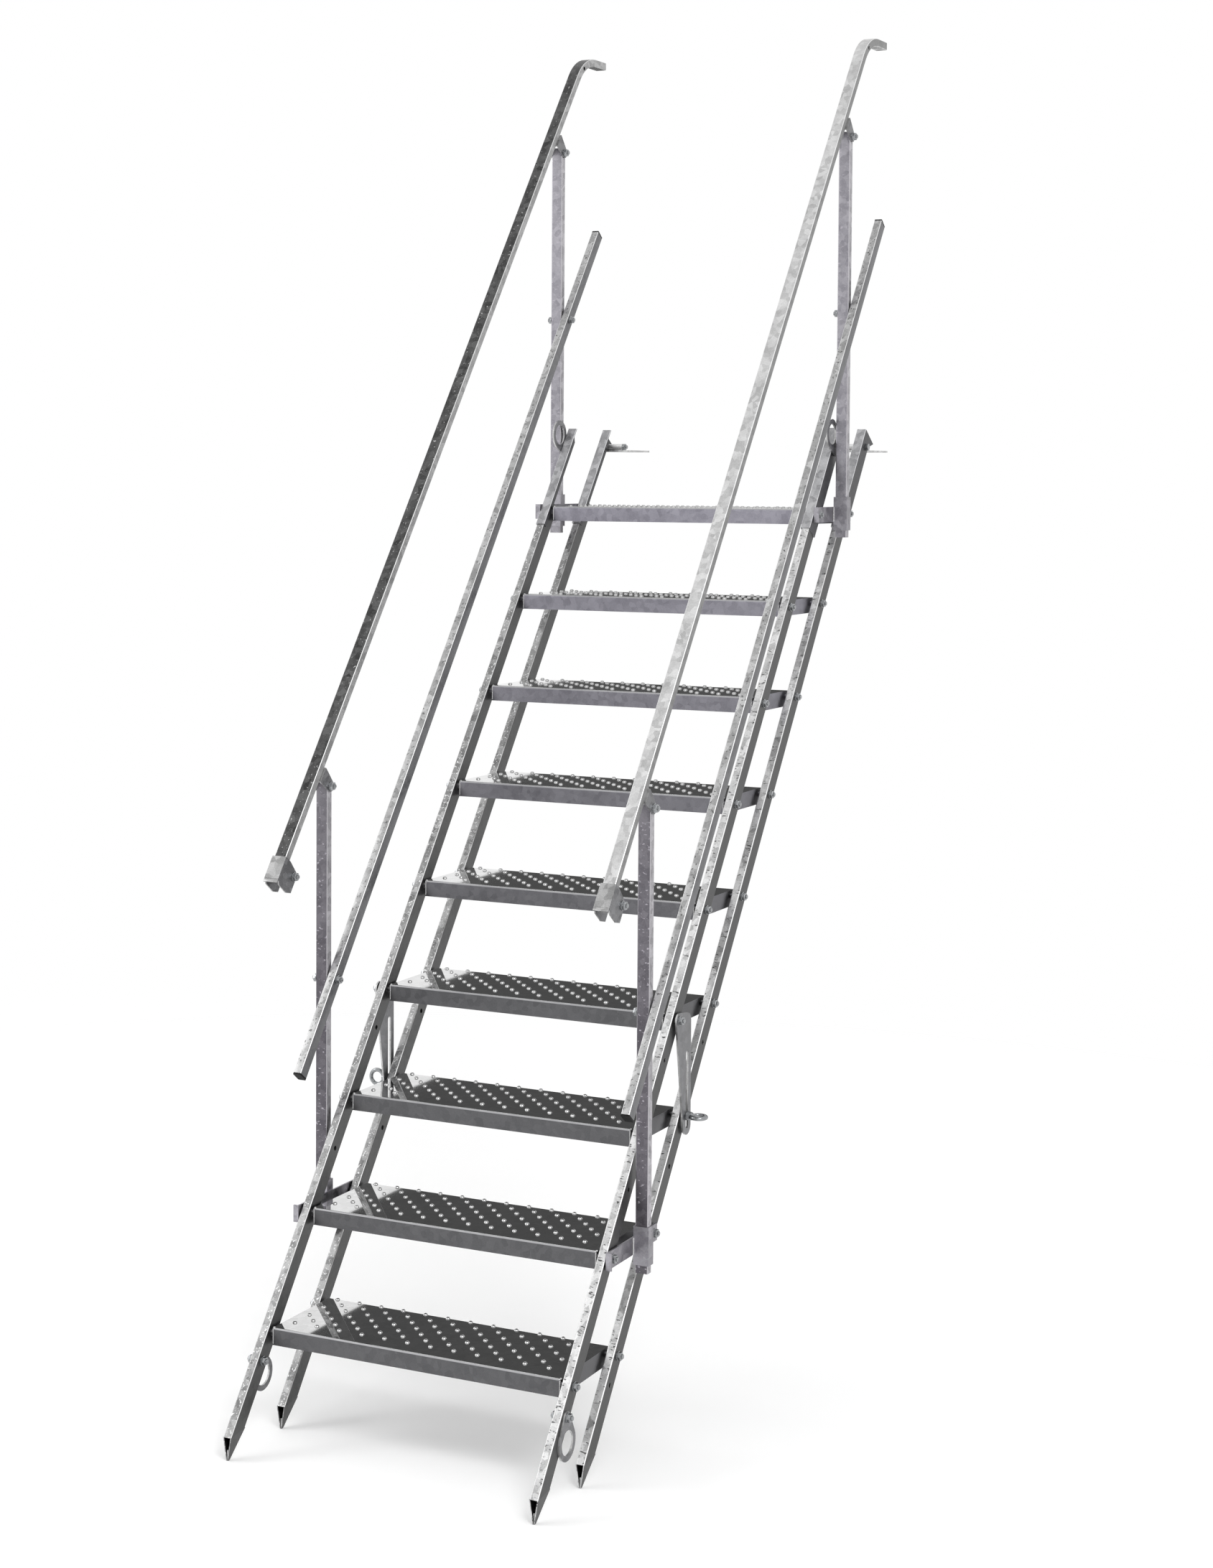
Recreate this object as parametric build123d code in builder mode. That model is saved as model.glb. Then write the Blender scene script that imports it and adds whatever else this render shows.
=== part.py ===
from build123d import *
from math import cos, radians, sin, tan
import os

os.makedirs("parts", exist_ok=True)

# An adjustable site stair of galvanised steel. Two rear and two front stringers carry treads on pivot bolts, so
# that every tread stays level as the stair is set steeper or flatter, and two landing feet hold it at the top.
# +X runs along the treads to the climber's right, +Y away from the climber and +Z up.
# The origin is the middle of the left landing foot's flat underside.

# Stair as a whole, in millimetres and degrees
PITCH = 52.7
STEPS = 9
STEP_SPACING = 280
TREAD_LENGTH = 700
TREAD_DEPTH = 240
TREAD_HEIGHT = 38
TREAD_SHEET = 2
TREAD_EDGE_RADIUS = 5

# Pivots of the treads, with a round spacer on each pivot bolt
PIVOT_FRONT_INSET = 11
PIVOT_REAR_INSET = 15
PIVOT_DROP = 14
SPACER_RADIUS = 8
SEAT_GAP = 0.3
SIDE_GAP = 7

# Stringers, of rectangular tube with pinched feet
STRINGER_DEPTH = 40
STRINGER_WIDTH = 20
STRINGER_WALL = 2
STRINGER_CORNER = 3
STRINGER_TOP = 22
FOOT_FRONT = 245
FOOT_BEND = 206
FOOT_DROP = 50
FOOT_TIP_WIDTH = 4.6
FOOT_TIP_DEPTH = 7
SPARE_HOLE_RADIUS = 5.5
LOW_HOLE_BELOW = 65
MIDDLE_HOLE_ABOVE = 436
HIGH_HOLE_ABOVE = 741

# Folded channels that lengthen the stringers past the top tread
CHANNEL_SHEET = 2.5
CHANNEL_BELOW = 56
CHANNEL_ABOVE = 258
CHANNEL_CORNER = 2
LIP_DEPTH = 14
LIP_ABOVE = 234
LIP_SLOPE = 12
NOSE_ALONG = 261
NOSE_REACH = 25
NOSE_ROOT = 231

# Landing feet, hinged on a bolt through the rear channels
FOOT_LENGTH = 185
FOOT_WIDTH = 58
FOOT_THICKNESS = 5
BARREL_RADIUS = 8
HINGE_ABOVE = 221
HINGE_BACK = 6
HINGE_BOLT_RADIUS = 5
HINGE_CLEARANCE = 0.1
HINGE_HEAD = 7
HINGE_NUT = 8
HINGE_HEX = 17
HINGE_TAIL = 5

# Posts and the brackets that carry them on the second and the top tread
LOWER_POST_TREAD_NUMBER = 2
UPPER_POST_TREAD_NUMBER = 9
POST_WIDTH = 30
POST_DEPTH = 20
POST_WALL = 2
POST_CORNER = 2.5
POST_BACK = 116
POST_BOTTOM = 58
POST_PIVOT = 947
POST_ABOVE_PIVOT = 12
POST_GAP = 0.4
BRACKET_THICKNESS = 4
BRACKET_HEIGHT = 38
BRACKET_FRONT = 27
BRACKET_REAR = 15
BRACKET_LIP = 9
COLLAR_WALL = 2.5
COLLAR_BELOW = 40
COLLAR_ABOVE = 44

# Handrails, with a socket at the lower end and clips that hinge on the posts
RAIL_WIDTH = 30
RAIL_DEPTH = 20
RAIL_WALL = 2
RAIL_CORNER = 2.5
RAIL_FORWARD = 54
RAIL_BELOW = 279
RAIL_STRAIGHT = 2184
RAIL_BEND_RADIUS = 130
RAIL_LEVEL_END = 62
RAIL_HOLE_RADIUS = 5
RAIL_HOLE_ANGLE = 35
CLIP_SHEET = 3
CLIP_BELOW = 16
CLIP_ABOVE = 22
CLIP_EYE = 13
SOCKET_SHEET = 3
SOCKET_LENGTH = 56
SOCKET_DEPTH = 62
SOCKET_LOBE = 9
SOCKET_BOLT_BELOW = 243
SOCKET_BOLT_BACK = 12
SOCKET_BOLT_RADIUS = 6

# Middle rails, of square tube with a cap in each end
MID_RAIL_SIZE = 20
MID_RAIL_WALL = 2
MID_RAIL_CORNER = 2.5
MID_RAIL_BELOW = 241
MID_RAIL_ABOVE = 2258
MID_RAIL_PIVOT = 506
MID_WASHER_RADIUS = 9
MID_WASHER_THICKNESS = 2
CAP_THICKNESS = 4
CAP_PLUG = 12
CAP_CLEARANCE = 0.2

# Slotted struts that lock the pitch, from the fourth tread's front bolt to the third tread's rear bolt
STRUT_TREAD_NUMBER = 4
STRUT_THICKNESS = 4
STRUT_STANDOFF = 5
STRUT_EYE = 17
STRUT_SHOULDER = 20
STRUT_SHOULDER_DROP = 10
STRUT_FOOT = 21
SLOT_WIDTH = 13
SLOT_TOP = 75
SLOT_BOTTOM = 251
EYE_NUT_HEIGHT = 12
EYE_NUT_RADIUS = 12
EYE_RING_OUTER = 22
EYE_RING_SECTION = 10
EYE_RING_SINK = 6
EYE_RING_SIDES = 20

# Lifting eyes of plate, bolted to the front stringers at the bottom and to the front channels at the top
LIFT_THICKNESS = 4
LIFT_REACH = 53
LIFT_HOLE_RADIUS = 26
LIFT_OUTER_RADIUS = 38
LIFT_NECK_RADIUS = 13
LIFT_ABOVE = 200
LOW_LEFT_EYE_ANGLE = -51
LOW_RIGHT_EYE_ANGLE = -90
HIGH_EYE_ANGLE = 126

SIDES = {"left": -1, "right": 1}
LEAN = (cos(radians(PITCH)), sin(radians(PITCH)))

PIVOT_SPACING = TREAD_DEPTH - PIVOT_FRONT_INSET - PIVOT_REAR_INSET

# Distances from the stair's middle plane, from the treads outwards
TREAD_END = TREAD_LENGTH / 2
TUBE_INSIDE = TREAD_END + SIDE_GAP
TUBE_OUTSIDE = TUBE_INSIDE + STRINGER_WIDTH
CHANNEL_OUTSIDE = TUBE_OUTSIDE + CHANNEL_SHEET
BRACKET_INSIDE = CHANNEL_OUTSIDE + SEAT_GAP
BRACKET_OUTSIDE = BRACKET_INSIDE + BRACKET_THICKNESS
POST_INSIDE = BRACKET_OUTSIDE + COLLAR_WALL + POST_GAP
POST_OUTSIDE = POST_INSIDE + POST_WIDTH
STRUT_INSIDE = TUBE_OUTSIDE + STRUT_STANDOFF
STRUT_OUTSIDE = STRUT_INSIDE + STRUT_THICKNESS
MIDDLE = TUBE_OUTSIDE - SEAT_GAP - FOOT_WIDTH / 2


def moved(point, along, across=0):
    """A point moved up along the stringers and squarely behind them, as (y, z)."""
    y, z = point
    return (y + along * LEAN[0] + across * LEAN[1], z + along * LEAN[1] - across * LEAN[0])


HINGE = (BARREL_RADIUS - FOOT_LENGTH / 2, FOOT_THICKNESS + BARREL_RADIUS)
TOP_PIVOT = moved(HINGE, -HINGE_ABOVE, -HINGE_BACK)


def rear_pivot(step):
    return moved(TOP_PIVOT, (step - STEPS) * STEP_SPACING)


def front_pivot(step):
    y, z = rear_pivot(step)
    return (y - PIVOT_SPACING, z)


def post_centre(step):
    return front_pivot(step)[0] + POST_BACK


def rail_pivot(step):
    return (post_centre(step), front_pivot(step)[1] + POST_PIVOT)


def mid_rail_pivot(step):
    return (post_centre(step), front_pivot(step)[1] + MID_RAIL_PIVOT)


def side_plane(side, distance):
    """The upright plane across the stair at a distance from its middle, with Y and Z as its own axes."""
    return Plane.YZ.offset(MIDDLE + SIDES[side] * distance)


def finish(part, name):
    part.label = name
    export_step(part, f"parts/{name}.step")


# Treads: a folded tray open below and closed at both ends, with a spacer at each pivot
for step in range(1, STEPS + 1):
    front_y, pivot_z = front_pivot(step)
    tread_y = front_y - PIVOT_FRONT_INSET + TREAD_DEPTH / 2
    tread_z = pivot_z + PIVOT_DROP - TREAD_HEIGHT / 2
    with BuildPart() as tread:
        with BuildSketch(side_plane("left", TREAD_END)):
            with Locations((tread_y, tread_z)):
                Rectangle(TREAD_DEPTH, TREAD_HEIGHT)
        extrude(amount=TREAD_LENGTH)
        fillet(tread.edges().filter_by(Axis.X).group_by(Axis.Z)[-1], TREAD_EDGE_RADIUS)
        with BuildSketch(side_plane("left", TREAD_END - TREAD_SHEET)):
            with Locations((tread_y, tread_z - TREAD_SHEET)):
                Rectangle(TREAD_DEPTH - 2 * TREAD_SHEET, TREAD_HEIGHT)
        extrude(amount=TREAD_LENGTH - 2 * TREAD_SHEET, mode=Mode.SUBTRACT)
        for side, sign in SIDES.items():
            with BuildSketch(side_plane(side, TREAD_END)):
                with Locations(front_pivot(step), rear_pivot(step)):
                    Circle(SPACER_RADIUS)
            extrude(amount=sign * (SIDE_GAP - SEAT_GAP))
    finish(tread.part, f"tread_{step}")


# Stringers: the foot is cut plumb, its sides pinch to a rounded tip and its back wall bends inwards
def stringer(side, pivot):
    sign = SIDES[side]
    front = moved(pivot, -FOOT_FRONT, -STRINGER_DEPTH / 2)
    bend = moved(pivot, -FOOT_BEND, STRINGER_DEPTH / 2)
    tip = (front[0], front[1] - FOOT_DROP)
    top = (STEPS - 1) * STEP_SPACING + STRINGER_TOP
    middle_x = MIDDLE + sign * (TUBE_INSIDE + STRINGER_WIDTH / 2)
    opening = Vector(0, bend[0] - front[0], bend[1] - front[1])
    downwards = opening.normalized().cross(Vector(1, 0, 0))

    def section(point, width, start, end):
        """A rectangle across the foot, from start to end behind a point of its plumb cut."""
        origin = Vector(middle_x, *point) + opening.normalized() * (start + end) / 2
        plane = Plane(origin=origin, x_dir=(1, 0, 0), z_dir=downwards)
        with BuildSketch(plane) as drawn:
            Rectangle(width, end - start)
        return drawn.sketch

    inner = STRINGER_DEPTH / 2 - STRINGER_WALL
    inner_width = STRINGER_WIDTH - 2 * STRINGER_WALL
    with BuildPart() as tube:
        with BuildSketch(side_plane(side, TUBE_INSIDE)):
            with BuildLine():
                Polyline(
                    front,
                    bend,
                    moved(pivot, top, STRINGER_DEPTH / 2),
                    moved(pivot, top, -STRINGER_DEPTH / 2),
                    close=True,
                )
            make_face()
        extrude(amount=sign * STRINGER_WIDTH)
        fillet(tube.edges().filter_by(Axis((0, 0, 0), (0, *LEAN))), STRINGER_CORNER)
        loft([section(front, STRINGER_WIDTH, 0, opening.length), section(tip, FOOT_TIP_WIDTH, 0, FOOT_TIP_DEPTH)])
        with BuildSketch(side_plane(side, TUBE_INSIDE + STRINGER_WALL)):
            with BuildLine():
                Polyline(
                    moved(pivot, -FOOT_FRONT, -inner),
                    moved(pivot, -FOOT_BEND, inner),
                    moved(pivot, top + STRINGER_WALL, inner),
                    moved(pivot, top + STRINGER_WALL, -inner),
                    close=True,
                )
            make_face()
        extrude(amount=sign * inner_width, mode=Mode.SUBTRACT)
        loft(
            [
                section(front, inner_width, -STRINGER_WALL, opening.length - STRINGER_WALL),
                section(tip, FOOT_TIP_WIDTH - 2 * STRINGER_WALL, -STRINGER_WALL, FOOT_TIP_DEPTH / 2),
            ],
            mode=Mode.SUBTRACT,
        )
        with BuildSketch(side_plane(side, TUBE_INSIDE)):
            with Locations(*[moved(pivot, hole) for hole in (-LOW_HOLE_BELOW, MIDDLE_HOLE_ABOVE, HIGH_HOLE_ABOVE)]):
                Circle(SPARE_HOLE_RADIUS)
        extrude(amount=sign * STRINGER_WIDTH, mode=Mode.SUBTRACT)
    return tube.part


for side in SIDES:
    finish(stringer(side, front_pivot(1)), f"front_stringer_{side}")
    finish(stringer(side, rear_pivot(1)), f"rear_stringer_{side}")


# Top channels: a folded sheet with a deep outer flange and a short inner lip, wrapped round the stringer's top
def top_channel(side, pivot, flange_back):
    sign = SIDES[side]
    face = -STRINGER_DEPTH / 2
    front = face - CHANNEL_SHEET
    lip_back = front + LIP_DEPTH
    web = [
        moved(pivot, -CHANNEL_BELOW, front),
        moved(pivot, CHANNEL_ABOVE, front),
        moved(pivot, CHANNEL_ABOVE, face),
        moved(pivot, -CHANNEL_BELOW, face),
    ]
    lip = [
        moved(pivot, -CHANNEL_BELOW, front),
        moved(pivot, LIP_ABOVE, front),
        moved(pivot, LIP_ABOVE - LIP_SLOPE, lip_back),
        moved(pivot, -CHANNEL_BELOW, lip_back),
    ]
    flange = [
        moved(pivot, -CHANNEL_BELOW, front),
        moved(pivot, CHANNEL_ABOVE, front),
        *flange_back,
        moved(pivot, -CHANNEL_BELOW, STRINGER_DEPTH / 2),
    ]
    with BuildPart() as channel:
        with BuildSketch(side_plane(side, TUBE_INSIDE - CHANNEL_SHEET)):
            Polygon(*web, align=None)
        extrude(amount=sign * (STRINGER_WIDTH + 2 * CHANNEL_SHEET))
        with BuildSketch(side_plane(side, TUBE_INSIDE - CHANNEL_SHEET)):
            Polygon(*lip, align=None)
        extrude(amount=sign * CHANNEL_SHEET)
        with BuildSketch(side_plane(side, TUBE_OUTSIDE)):
            Polygon(*flange, align=None)
        extrude(amount=sign * CHANNEL_SHEET)
        long_edges = channel.edges().filter_by(Axis((0, 0, 0), (0, *LEAN)))
        fillet(long_edges.group_by(Axis((0, 0, 0), (0, LEAN[1], -LEAN[0])))[0], CHANNEL_CORNER)
        if pivot == TOP_PIVOT:
            with BuildSketch(side_plane(side, TUBE_OUTSIDE)):
                with Locations(HINGE):
                    Circle(HINGE_BOLT_RADIUS + HINGE_CLEARANCE)
            extrude(amount=sign * CHANNEL_SHEET, mode=Mode.SUBTRACT)
    return channel.part


back = STRINGER_DEPTH / 2
for side in SIDES:
    nose = [moved(TOP_PIVOT, NOSE_ALONG, back + NOSE_REACH), moved(TOP_PIVOT, NOSE_ROOT, back)]
    finish(top_channel(side, TOP_PIVOT, nose), f"rear_channel_{side}")
    front_top = front_pivot(STEPS)
    square_end = [moved(front_top, CHANNEL_ABOVE, back)]
    finish(top_channel(side, front_top, square_end), f"front_channel_{side}")

# Landing feet: a flat plate under a barrel that turns on the landing bolt
for side, sign in SIDES.items():
    with BuildPart() as landing_foot:
        with BuildSketch(side_plane(side, TUBE_OUTSIDE - SEAT_GAP)):
            with Locations((0, FOOT_THICKNESS / 2)):
                Rectangle(FOOT_LENGTH, FOOT_THICKNESS)
            with Locations((HINGE[0], (HINGE[1] + FOOT_THICKNESS) / 2)):
                Rectangle(BARREL_RADIUS, HINGE[1] - FOOT_THICKNESS)
            with Locations(HINGE):
                Circle(BARREL_RADIUS)
                Circle(HINGE_BOLT_RADIUS + HINGE_CLEARANCE, mode=Mode.SUBTRACT)
        extrude(amount=-sign * FOOT_WIDTH)
    finish(landing_foot.part, f"landing_foot_{side}")

with BuildPart() as landing_bolts:
    for side, sign in SIDES.items():
        grip = CHANNEL_SHEET + 3 * SEAT_GAP + FOOT_WIDTH
        with BuildSketch(side_plane(side, CHANNEL_OUTSIDE + SEAT_GAP)):
            with Locations(HINGE):
                RegularPolygon(HINGE_HEX / 2, 6, major_radius=False)
        extrude(amount=sign * HINGE_HEAD)
        with BuildSketch(side_plane(side, CHANNEL_OUTSIDE + SEAT_GAP)):
            with Locations(HINGE):
                Circle(HINGE_BOLT_RADIUS)
        extrude(amount=-sign * (grip + HINGE_NUT + HINGE_TAIL))
        with BuildSketch(side_plane(side, CHANNEL_OUTSIDE + SEAT_GAP - grip)):
            with Locations(HINGE):
                RegularPolygon(HINGE_HEX / 2, 6, major_radius=False)
        extrude(amount=-sign * HINGE_NUT)
finish(landing_bolts.part, "landing_bolts")

# Posts of rectangular tube, each in the box collar of a level bracket
for level, step in (("lower", LOWER_POST_TREAD_NUMBER), ("upper", UPPER_POST_TREAD_NUMBER)):
    post_y = post_centre(step)
    tread_pivot = front_pivot(step)
    for side, sign in SIDES.items():
        post_x = MIDDLE + sign * (POST_INSIDE + POST_OUTSIDE) / 2
        with BuildPart() as post:
            with BuildSketch(Plane.XY.offset(tread_pivot[1] - POST_BOTTOM)):
                with Locations((post_x, post_y)):
                    RectangleRounded(POST_WIDTH, POST_DEPTH, POST_CORNER)
                    Rectangle(POST_WIDTH - 2 * POST_WALL, POST_DEPTH - 2 * POST_WALL, mode=Mode.SUBTRACT)
            extrude(amount=POST_BOTTOM + POST_PIVOT + POST_ABOVE_PIVOT)
        finish(post.part, f"{level}_post_{side}")

        with BuildPart() as bracket:
            plate_start = tread_pivot[0] - BRACKET_FRONT
            plate_length = BRACKET_FRONT + PIVOT_SPACING + BRACKET_REAR
            plate_centre = (plate_start + plate_length / 2, tread_pivot[1])
            with BuildSketch(side_plane(side, BRACKET_INSIDE)):
                with Locations(plate_centre):
                    Rectangle(plate_length, BRACKET_HEIGHT)
            extrude(amount=sign * BRACKET_THICKNESS)
            if step == LOWER_POST_TREAD_NUMBER:
                with BuildSketch(side_plane(side, TUBE_OUTSIDE + SEAT_GAP)):
                    with Locations(tread_pivot, rear_pivot(step)):
                        Circle(SPACER_RADIUS)
                extrude(amount=sign * CHANNEL_SHEET)
            with BuildSketch(side_plane(side, BRACKET_OUTSIDE)):
                with Locations((plate_start + BRACKET_THICKNESS / 2, tread_pivot[1])):
                    Rectangle(BRACKET_THICKNESS, BRACKET_HEIGHT)
            extrude(amount=sign * BRACKET_LIP)
            with BuildSketch(Plane.XY.offset(tread_pivot[1] - COLLAR_BELOW)):
                with Locations((post_x, post_y)):
                    Rectangle(
                        POST_WIDTH + 2 * (POST_GAP + COLLAR_WALL), POST_DEPTH + 2 * (POST_GAP + COLLAR_WALL)
                    )
                    Rectangle(POST_WIDTH + 2 * POST_GAP, POST_DEPTH + 2 * POST_GAP, mode=Mode.SUBTRACT)
            extrude(amount=COLLAR_BELOW + COLLAR_ABOVE)
        finish(bracket.part, f"{level}_bracket_{side}")

# Handrails: one bent length of tube a side, in front of the posts
RAIL_BEND = moved(rail_pivot(LOWER_POST_TREAD_NUMBER), RAIL_STRAIGHT, -RAIL_FORWARD)
RAIL_BEND_CENTRE = moved(RAIL_BEND, 0, RAIL_BEND_RADIUS)


def on_bend(radius, angle):
    """The point at an angle in front of straight up from the bend's centre."""
    y, z = RAIL_BEND_CENTRE
    return (y - radius * sin(radians(angle)), z + radius * cos(radians(angle)))


def rail_outline(half, beyond):
    """The rail's side outline, half its depth to each side of its middle line and running beyond both ends."""
    foot = -RAIL_BELOW - beyond
    level_end = RAIL_BEND_CENTRE[0] + RAIL_LEVEL_END + beyond
    top, underside = on_bend(RAIL_BEND_RADIUS + half, 0), on_bend(RAIL_BEND_RADIUS - half, 0)
    front, rear = on_bend(RAIL_BEND_RADIUS + half, PITCH), on_bend(RAIL_BEND_RADIUS - half, PITCH)
    Polyline(
        rear,
        moved(rail_pivot(LOWER_POST_TREAD_NUMBER), foot, half - RAIL_FORWARD),
        moved(rail_pivot(LOWER_POST_TREAD_NUMBER), foot, -half - RAIL_FORWARD),
        front,
    )
    ThreePointArc(front, on_bend(RAIL_BEND_RADIUS + half, PITCH / 2), top)
    Polyline(top, (level_end, top[1]), (level_end, underside[1]), underside)
    ThreePointArc(underside, on_bend(RAIL_BEND_RADIUS - half, PITCH / 2), rear)


for side, sign in SIDES.items():
    with BuildPart() as handrail:
        with BuildSketch(side_plane(side, POST_INSIDE)):
            with BuildLine():
                rail_outline(RAIL_DEPTH / 2, 0)
            make_face()
        extrude(amount=sign * RAIL_WIDTH)
        ends = handrail.faces().sort_by(Axis.Z)[0].edges() + handrail.faces().sort_by(Axis.Y)[-1].edges()
        fillet(handrail.edges() - handrail.edges().filter_by(Axis.X) - ends, RAIL_CORNER)
        with BuildSketch(side_plane(side, POST_INSIDE + RAIL_WALL)):
            with BuildLine():
                rail_outline(RAIL_DEPTH / 2 - RAIL_WALL, RAIL_WALL)
            make_face()
        extrude(amount=sign * (RAIL_WIDTH - 2 * RAIL_WALL), mode=Mode.SUBTRACT)
        with BuildSketch(side_plane(side, POST_INSIDE)):
            with Locations(on_bend(RAIL_BEND_RADIUS, RAIL_HOLE_ANGLE)):
                Circle(RAIL_HOLE_RADIUS)
        extrude(amount=sign * RAIL_WIDTH, mode=Mode.SUBTRACT)
    finish(handrail.part, f"handrail_{side}")

# Clips: bent plate welded behind the handrail, with two cheeks round the top of the post
RAIL_BACK = RAIL_FORWARD - RAIL_DEPTH / 2
with BuildPart() as clips:
    for side, sign in SIDES.items():
        for step in (LOWER_POST_TREAD_NUMBER, UPPER_POST_TREAD_NUMBER):
            pivot = rail_pivot(step)
            web_front = [moved(pivot, -CLIP_BELOW, -RAIL_BACK), moved(pivot, CLIP_ABOVE, -RAIL_BACK)]
            web_back = [
                moved(pivot, CLIP_ABOVE, CLIP_SHEET - RAIL_BACK),
                moved(pivot, -CLIP_BELOW, CLIP_SHEET - RAIL_BACK),
            ]
            with BuildSketch(side_plane(side, POST_INSIDE - POST_GAP - CLIP_SHEET)):
                with BuildLine():
                    Polyline(*web_front, *web_back, close=True)
                make_face()
            extrude(amount=sign * (POST_WIDTH + 2 * POST_GAP + 2 * CLIP_SHEET))
            for cheek in (POST_INSIDE - POST_GAP - CLIP_SHEET, POST_OUTSIDE + POST_GAP):
                with BuildSketch(side_plane(side, cheek)):
                    with BuildLine():
                        Polyline(*web_front, *web_back, close=True)
                    make_face()
                    with Locations(pivot):
                        Circle(CLIP_EYE)
                    make_hull()
                extrude(amount=sign * CLIP_SHEET)
finish(clips.part, "handrail_clips")

# Sockets: a folded channel over the handrail's lower end, with a cross bolt behind the rail
with BuildPart() as sockets:
    front_face = -(RAIL_FORWARD + RAIL_DEPTH / 2)
    pivot = rail_pivot(LOWER_POST_TREAD_NUMBER)
    for side, sign in SIDES.items():
        with BuildSketch(side_plane(side, POST_INSIDE - SOCKET_SHEET)):
            with BuildLine():
                Polyline(
                    moved(pivot, -RAIL_BELOW, front_face - SOCKET_SHEET),
                    moved(pivot, SOCKET_LENGTH - RAIL_BELOW, front_face - SOCKET_SHEET),
                    moved(pivot, SOCKET_LENGTH - RAIL_BELOW, front_face),
                    moved(pivot, -RAIL_BELOW, front_face),
                    close=True,
                )
            make_face()
        extrude(amount=sign * (POST_WIDTH + 2 * SOCKET_SHEET))
        for cheek in (POST_INSIDE - SOCKET_SHEET, POST_OUTSIDE):
            with BuildSketch(side_plane(side, cheek)) as cheek_outline:
                with BuildLine():
                    Polyline(
                        moved(pivot, -RAIL_BELOW - SOCKET_LOBE, front_face + SOCKET_LOBE),
                        moved(pivot, -RAIL_BELOW, front_face - SOCKET_SHEET),
                        moved(pivot, SOCKET_LENGTH - RAIL_BELOW, front_face - SOCKET_SHEET),
                        moved(pivot, SOCKET_LENGTH - RAIL_BELOW, front_face + RAIL_DEPTH),
                        moved(pivot, SOCKET_LENGTH - RAIL_BELOW - SOCKET_LOBE, front_face + SOCKET_DEPTH),
                        moved(pivot, -RAIL_BELOW, front_face + SOCKET_DEPTH),
                        moved(pivot, -RAIL_BELOW - SOCKET_LOBE, front_face + SOCKET_DEPTH - 2 * SOCKET_LOBE),
                        close=True,
                    )
                make_face()
                fillet(cheek_outline.vertices().group_by(Axis.Y)[-1], SOCKET_LOBE)
            extrude(amount=sign * SOCKET_SHEET)
        with BuildSketch(side_plane(side, POST_INSIDE)):
            with Locations(moved(pivot, -SOCKET_BOLT_BELOW, -SOCKET_BOLT_BACK)):
                Circle(SOCKET_BOLT_RADIUS)
        extrude(amount=sign * POST_WIDTH)
finish(sockets.part, "handrail_sockets")


# Middle rails: square tube bolted to the right-hand side of the posts
def mid_rail_x(side):
    """The left-hand face of the side's middle rail, a washer's thickness from the right-hand face of its posts."""
    post_face = MIDDLE - POST_INSIDE if side == "left" else MIDDLE + POST_OUTSIDE
    return post_face + POST_GAP + MID_WASHER_THICKNESS


MID_PIVOT = mid_rail_pivot(LOWER_POST_TREAD_NUMBER)
MID_LOW, MID_HIGH = -MID_RAIL_BELOW, MID_RAIL_ABOVE
for side in SIDES:
    half = MID_RAIL_SIZE / 2
    inner = half - MID_RAIL_WALL
    with BuildPart() as mid_rail:
        with BuildSketch(Plane.YZ.offset(mid_rail_x(side))):
            with BuildLine():
                Polyline(
                    moved(MID_PIVOT, MID_LOW, -half),
                    moved(MID_PIVOT, MID_HIGH, -half),
                    moved(MID_PIVOT, MID_HIGH, half),
                    moved(MID_PIVOT, MID_LOW, half),
                    close=True,
                )
            make_face()
        extrude(amount=MID_RAIL_SIZE)
        fillet(mid_rail.edges().filter_by(Axis((0, 0, 0), (0, *LEAN))), MID_RAIL_CORNER)
        with BuildSketch(Plane.YZ.offset(mid_rail_x(side) + MID_RAIL_WALL)):
            with BuildLine():
                Polyline(
                    moved(MID_PIVOT, MID_LOW - MID_RAIL_WALL, -inner),
                    moved(MID_PIVOT, MID_HIGH + MID_RAIL_WALL, -inner),
                    moved(MID_PIVOT, MID_HIGH + MID_RAIL_WALL, inner),
                    moved(MID_PIVOT, MID_LOW - MID_RAIL_WALL, inner),
                    close=True,
                )
            make_face()
        extrude(amount=2 * inner, mode=Mode.SUBTRACT)
        with BuildSketch(Plane.YZ.offset(mid_rail_x(side))):
            with Locations(MID_PIVOT, mid_rail_pivot(UPPER_POST_TREAD_NUMBER)):
                Circle(MID_WASHER_RADIUS)
        extrude(amount=-MID_WASHER_THICKNESS)
    finish(mid_rail.part, f"mid_rail_{side}")

with BuildPart() as caps:
    for side in SIDES:
        cap_x = mid_rail_x(side) + MID_RAIL_SIZE / 2
        for end, way in ((MID_LOW, -1), (MID_HIGH, 1)):
            end_y, end_z = moved(MID_PIVOT, end)
            outwards = (0, way * LEAN[0], way * LEAN[1])
            with BuildSketch(Plane(origin=(cap_x, end_y, end_z), x_dir=(1, 0, 0), z_dir=outwards)):
                Rectangle(MID_RAIL_SIZE, MID_RAIL_SIZE)
            extrude(amount=CAP_THICKNESS)
            with BuildSketch(Plane(origin=(cap_x, end_y, end_z), x_dir=(1, 0, 0), z_dir=outwards)):
                plug = MID_RAIL_SIZE - 2 * (MID_RAIL_WALL + CAP_CLEARANCE)
                Rectangle(plug, plug)
            extrude(amount=-CAP_PLUG)
finish(caps.part, "mid_rail_caps")

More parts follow.
